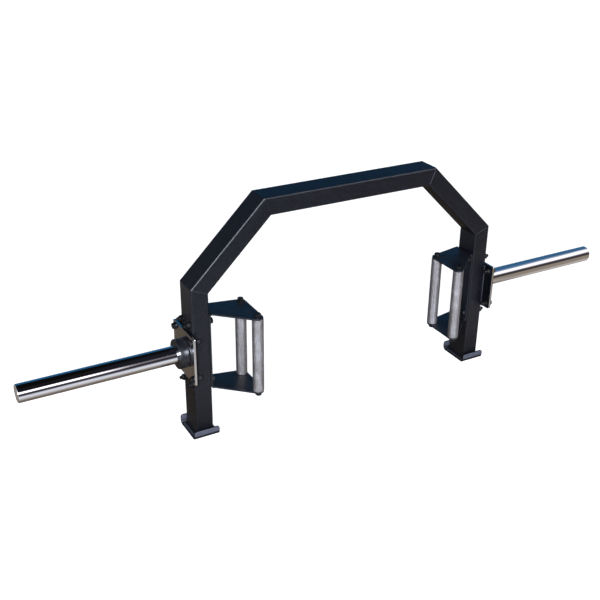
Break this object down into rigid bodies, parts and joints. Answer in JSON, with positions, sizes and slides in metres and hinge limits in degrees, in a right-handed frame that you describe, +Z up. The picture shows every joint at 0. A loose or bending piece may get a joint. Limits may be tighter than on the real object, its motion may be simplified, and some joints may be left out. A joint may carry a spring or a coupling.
{
  "type": "trap bar",
  "caption": "Open trap bar: a welded arch of rectangular tube standing on its feet, with chromed plate sleeves outside its legs and upright grips in brackets inside them.",
  "frame": {"origin": "on the floor, in the middle of the rectangle that the whole bar covers seen from above: halfway between the sleeve ends, and halfway between the backs of the square flanges and the fronts of the forward grips", "axes": "+X to the right along the sleeves, +Y to the back (the forward grips are on the -Y side), +Z up from the floor to the top beam"},
  "size_m": [1.908, 0.192, 0.6725],
  "materials": {
    "powder_coat": "fine textured black powder coat on steel, semi-gloss on the bracket plates",
    "chrome": "bright hard chrome on turned and flat steel",
    "grip_steel": "satin zinc with a fine diamond knurl",
    "collar": "smooth satin black coat on steel",
    "fastener": "black oxide steel, semi-gloss"
  },
  "bodies": {
    "root": {"leg_left": "powder_coat", "slope_left": "powder_coat", "foot_left": "powder_coat", "mount_plate_left": "powder_coat", "bracket_left": "powder_coat", "flange_left": "chrome", "sleeve_left": "chrome", "sleeve_plug_left": "chrome", "collar_left": "collar", "grip_low_left": "grip_steel", "grip_high_left": "grip_steel", "sleeve_bolts_left": "fastener", "sleeve_washers_left": "fastener", "sleeve_nuts_left": "fastener", "bracket_bolts_left": "fastener", "bracket_washers_left": "fastener", "bracket_nuts_left": "fastener", "grip_bolts_left": "fastener", "grip_washers_left": "fastener", "grip_lock_washers_left": "fastener", "leg_right": "powder_coat", "slope_right": "powder_coat", "foot_right": "powder_coat", "mount_plate_right": "powder_coat", "bracket_right": "powder_coat", "flange_right": "chrome", "sleeve_right": "chrome", "sleeve_plug_right": "chrome", "collar_right": "collar", "grip_low_right": "grip_steel", "grip_high_right": "grip_steel", "sleeve_bolts_right": "fastener", "sleeve_washers_right": "fastener", "sleeve_nuts_right": "fastener", "bracket_bolts_right": "fastener", "bracket_washers_right": "fastener", "bracket_nuts_right": "fastener", "grip_bolts_right": "fastener", "grip_washers_right": "fastener", "grip_lock_washers_right": "fastener", "top_beam": "powder_coat"}
  },
  "joints": []
}
